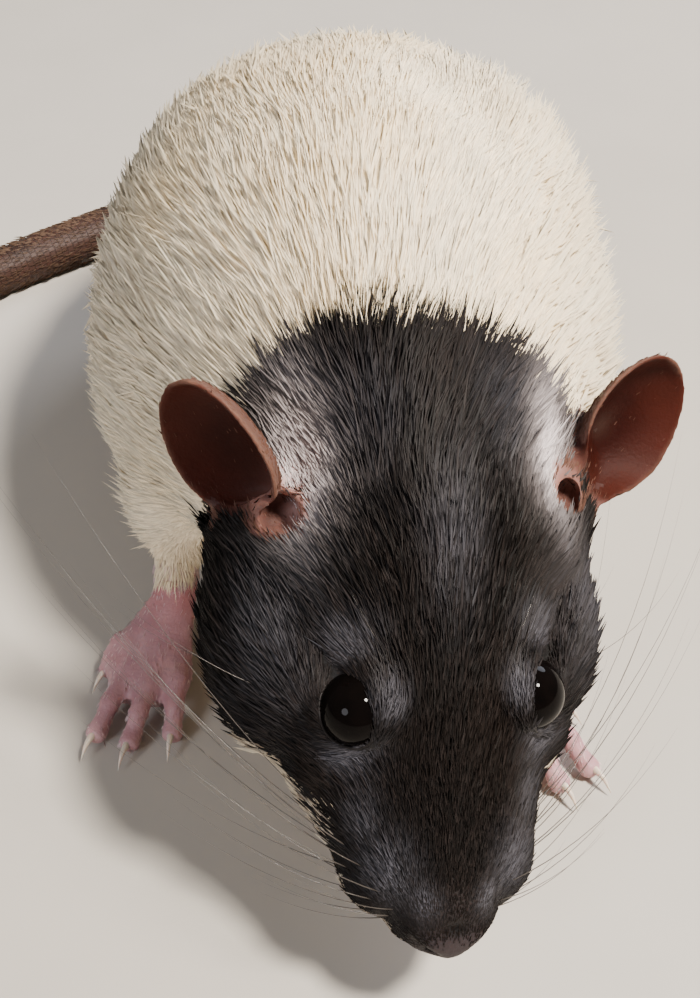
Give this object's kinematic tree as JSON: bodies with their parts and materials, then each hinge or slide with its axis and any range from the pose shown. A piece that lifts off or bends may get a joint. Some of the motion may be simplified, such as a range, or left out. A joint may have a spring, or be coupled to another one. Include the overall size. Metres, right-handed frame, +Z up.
{
  "type": "pet rat",
  "caption": "Pet rat as a still, life-size model: hooded, with a dark head and pale body, hunched over its forefeet with its tail curled round beside it.",
  "frame": {"origin": "below the middle of the bounds, on the floor it rests on", "axes": "-Y the way the rat faces, +Z up, +X towards the rat's left side"},
  "size_m": [0.1208, 0.132, 0.0569],
  "materials": {
    "dark_coat": "short charcoal fur",
    "pale_coat": "cream white fur",
    "bare_skin": "bare pink skin with ivory claws",
    "ear_skin": "thin brown ear skin",
    "tail_skin": "ringed scaly skin",
    "eye_black": "wet gloss"
  },
  "bodies": {
    "root": {"ear_left": "ear_skin", "ear_right": "ear_skin", "eye_left": "eye_black", "eye_right": "eye_black", "forefoot_left": "bare_skin", "forefoot_right": "bare_skin", "foreleg_left": "pale_coat", "foreleg_right": "pale_coat", "head": "dark_coat", "hindfoot_left": "bare_skin", "hindfoot_right": "bare_skin", "hindleg_left": "pale_coat", "hindleg_right": "pale_coat", "neck": "dark_coat", "tail_1": "tail_skin", "tail_2": "tail_skin", "tail_3": "tail_skin", "tail_4": "tail_skin", "torso": "pale_coat"}
  },
  "joints": []
}
